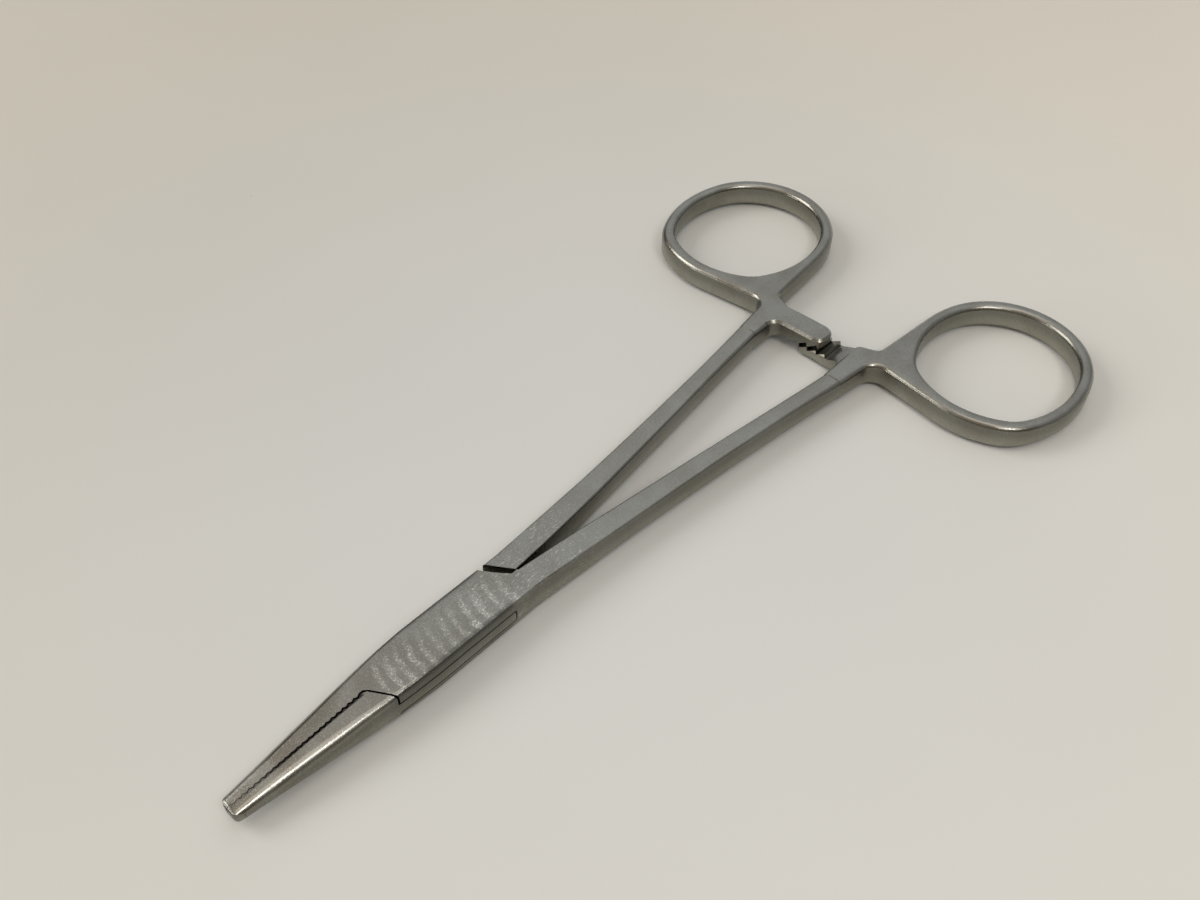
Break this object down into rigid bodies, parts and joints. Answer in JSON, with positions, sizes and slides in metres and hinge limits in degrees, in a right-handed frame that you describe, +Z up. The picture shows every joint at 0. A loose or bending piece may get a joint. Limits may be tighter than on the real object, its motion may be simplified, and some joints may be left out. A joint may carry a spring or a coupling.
{
  "type": "needle holder",
  "caption": "Surgical needle holder with finger rings, ratchet arms, box-lock hinge and short serrated tapering jaws, shown closed.",
  "frame": {"origin": "centre of the bounding box at the table the instrument lies on", "axes": "+Y from the jaws to the finger rings, +Z up out of the table, +X to the side of the ring that belongs to the box half"},
  "size_m": [0.077, 0.1408, 0.0047],
  "materials": {
    "box_half_steel": "satin, bead blasted",
    "tongue_half_steel": "satin, bead blasted",
    "pin_steel": "ground flush with the box"
  },
  "bodies": {
    "box_body": {"box_half": "box_half_steel", "pivot_pin": "pin_steel"},
    "tongue_body": {"tongue_half": "tongue_half_steel"}
  },
  "joints": [
    {"name": "box_lock", "type": "hinge", "parent": "box_body", "child": "tongue_body", "pos_m": [0, -0.03805, 0], "axis": [0, 0, 1], "range_deg": [0, 60]}
  ]
}
